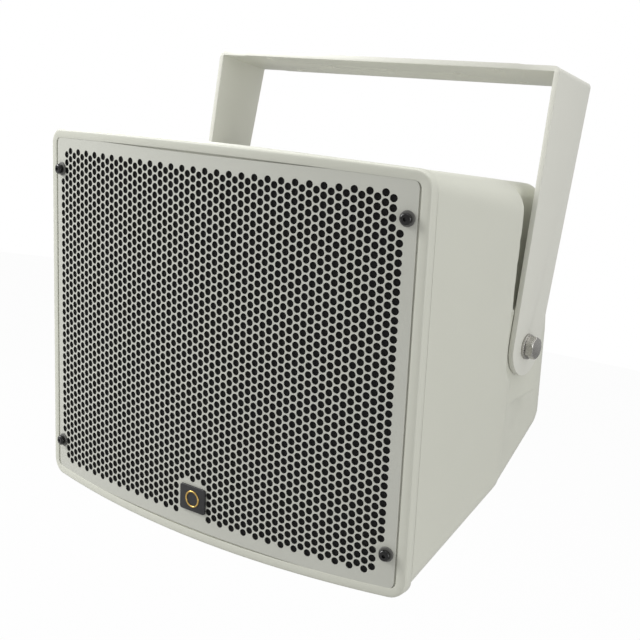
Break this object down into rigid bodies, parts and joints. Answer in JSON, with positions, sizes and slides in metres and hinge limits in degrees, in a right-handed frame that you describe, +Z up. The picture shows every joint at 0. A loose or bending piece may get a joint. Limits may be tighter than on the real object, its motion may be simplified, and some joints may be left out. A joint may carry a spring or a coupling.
{
  "type": "horn loudspeaker",
  "caption": "Weatherproof horn loudspeaker with a bowed perforated grille and a rear input recess, tilting on a U bracket whose bar bolts to a ceiling or wall.",
  "frame": {"origin": "centre of the bracket bar's mounting face, in the middle of its four corner holes", "axes": "+X to the cabinet's left-hand side as seen from behind, -Y the way the grille faces, +Z up, out of the mounting face"},
  "size_m": [0.355, 0.3991, 0.397],
  "materials": {
    "body_paint": "satin",
    "bracket_paint": "satin powder coat",
    "grille_paint": "satin powder coat",
    "black_plastic": "matte",
    "foam": "matte",
    "rubber": "matte",
    "black_screw": "satin",
    "stainless": "brushed",
    "zinc": "plated",
    "ferrite": "matte",
    "cone_paper": "matte",
    "spider_cloth": "matte",
    "board": "matte",
    "copper": "bright",
    "blue_plastic": "gloss",
    "brass": "bright",
    "knob_plastic": "satin",
    "grey_plastic": "matte",
    "label": "satin",
    "badge": "gloss"
  },
  "bodies": {
    "bracket": {"bracket": "bracket_paint"},
    "cabinet": {"enclosure": "body_paint", "baffle_gasket": "rubber", "horn_baffle": "black_plastic", "grille_foam": "foam", "grille": "grille_paint", "grille_screws": "black_screw", "badge": "badge", "woofer_frame": "black_screw", "woofer_top_plate": "zinc", "woofer_magnet": "ferrite", "woofer_yoke": "zinc", "woofer_spider": "spider_cloth", "woofer_surround": "rubber", "woofer_screws": "zinc", "hf_horn": "black_plastic", "compression_driver": "black_screw", "driver_screws": "zinc", "crossover_board": "board", "crossover_coils": "copper", "crossover_capacitors": "blue_plastic", "line_transformer": "zinc", "transformer_coil": "copper", "chassis_screws": "zinc", "input_panel": "black_plastic", "terminal_strip": "black_plastic", "terminal_screws": "stainless", "strip_screws": "zinc", "tap_switch": "grey_plastic", "label_plate": "label", "eye_bolt": "stainless", "eye_insert": "brass", "pivot_inserts": "brass", "pivot_spacers": "black_plastic", "pivot_bolts": "stainless", "pivot_washers": "stainless"},
    "knob": {"tap_knob": "knob_plastic"},
    "cone": {"woofer_cone": "cone_paper"}
  },
  "joints": [
    {"name": "cabinet_tilt", "type": "hinge", "parent": "bracket", "child": "cabinet", "pos_m": [0, 0, -0.212], "axis": [1, 0, 0], "range_deg": [-7, 78]},
    {"name": "tap_turn", "type": "hinge", "parent": "cabinet", "child": "knob", "pos_m": [0, 0.11448, -0.20709], "axis": [0, 0.9781, 0.2079], "range_deg": [-75, 75]},
    {"name": "cone_stroke", "type": "slide", "parent": "cabinet", "child": "cone", "axis": [0, 0.9781, 0.2079], "range_m": [-0.003, 0.003], "stiffness_N_per_m": 2500}
  ]
}
